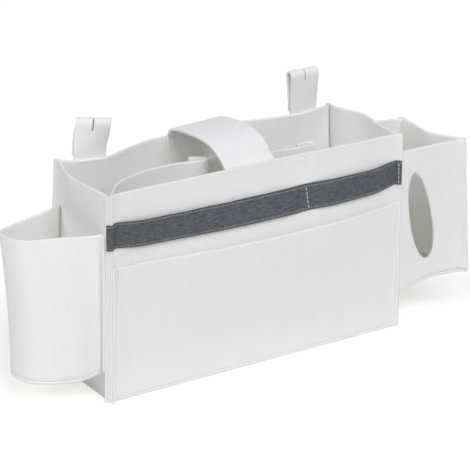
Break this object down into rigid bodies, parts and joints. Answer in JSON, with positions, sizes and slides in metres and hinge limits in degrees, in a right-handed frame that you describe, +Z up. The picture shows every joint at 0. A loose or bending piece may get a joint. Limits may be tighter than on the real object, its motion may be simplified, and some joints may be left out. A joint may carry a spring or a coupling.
{
  "type": "bedside caddy",
  "caption": "Open felt box caddy with a front pocket, a woven pen-loop tape, a rounded bottle pocket, a tissue pocket with an oval opening, a carry handle and hanging loops.",
  "frame": {"origin": "middle of the underside of the base, on the surface that the caddy stands on", "axes": "+X along the front towards the tissue pocket, +Y from the front towards the hanging loops, +Z up"},
  "size_m": [0.5031, 0.1354, 0.249],
  "materials": {
    "felt": "matt white needle felt, 3 mm thick",
    "webbing": "matt slate grey woven webbing",
    "thread": "white sewing thread"
  },
  "bodies": {
    "caddy": {"front_wall": "felt", "right_end_wall": "felt", "back_wall": "felt", "left_end_wall": "felt", "base_panel": "felt", "front_pocket_panel": "felt", "pen_loop_tape": "webbing", "tape_tack_left": "thread", "tape_tack_middle": "thread", "tape_tack_right": "thread", "corner_thread_front_left": "thread", "corner_thread_front_right": "thread", "corner_thread_back_right": "thread", "corner_thread_back_left": "thread", "left_divider": "felt", "centre_divider": "felt", "right_divider": "felt", "bottle_pocket_wall": "felt", "bottle_pocket_base": "felt", "bottle_base_thread": "thread", "tissue_pocket_front": "felt", "tissue_pocket_side": "felt", "tissue_pocket_back": "felt", "tissue_pocket_base": "felt", "tissue_base_thread": "thread", "handle_stitch_back": "thread", "handle_stitch_front": "thread", "left_loop_tail": "felt", "left_loop_stitch": "thread", "right_loop_tail": "felt", "right_loop_stitch": "thread"},
    "handle": {"carry_handle": "felt"},
    "left_loop": {"left_hanging_loop": "felt", "left_loop_crease": "felt"},
    "right_loop": {"right_hanging_loop": "felt", "right_loop_crease": "felt"}
  },
  "joints": [
    {"name": "left_loop_fold", "type": "hinge", "parent": "caddy", "child": "left_loop", "pos_m": [-0.121, 0.04866, 0.208], "axis": [1, 0, 0], "range_deg": [-100, 85], "stiffness_Nm_per_rad": 0.01, "deforming": ["left_loop_crease"]},
    {"name": "right_loop_fold", "type": "hinge", "parent": "caddy", "child": "right_loop", "pos_m": [0.1215, 0.04866, 0.208], "axis": [1, 0, 0], "range_deg": [-100, 85], "stiffness_Nm_per_rad": 0.01, "deforming": ["right_loop_crease"]},
    {"name": "handle_flex", "type": "slide", "parent": "caddy", "child": "handle", "axis": [0, 0, 1], "range_m": [-0.01, 0.015], "stiffness_N_per_m": 120}
  ]
}
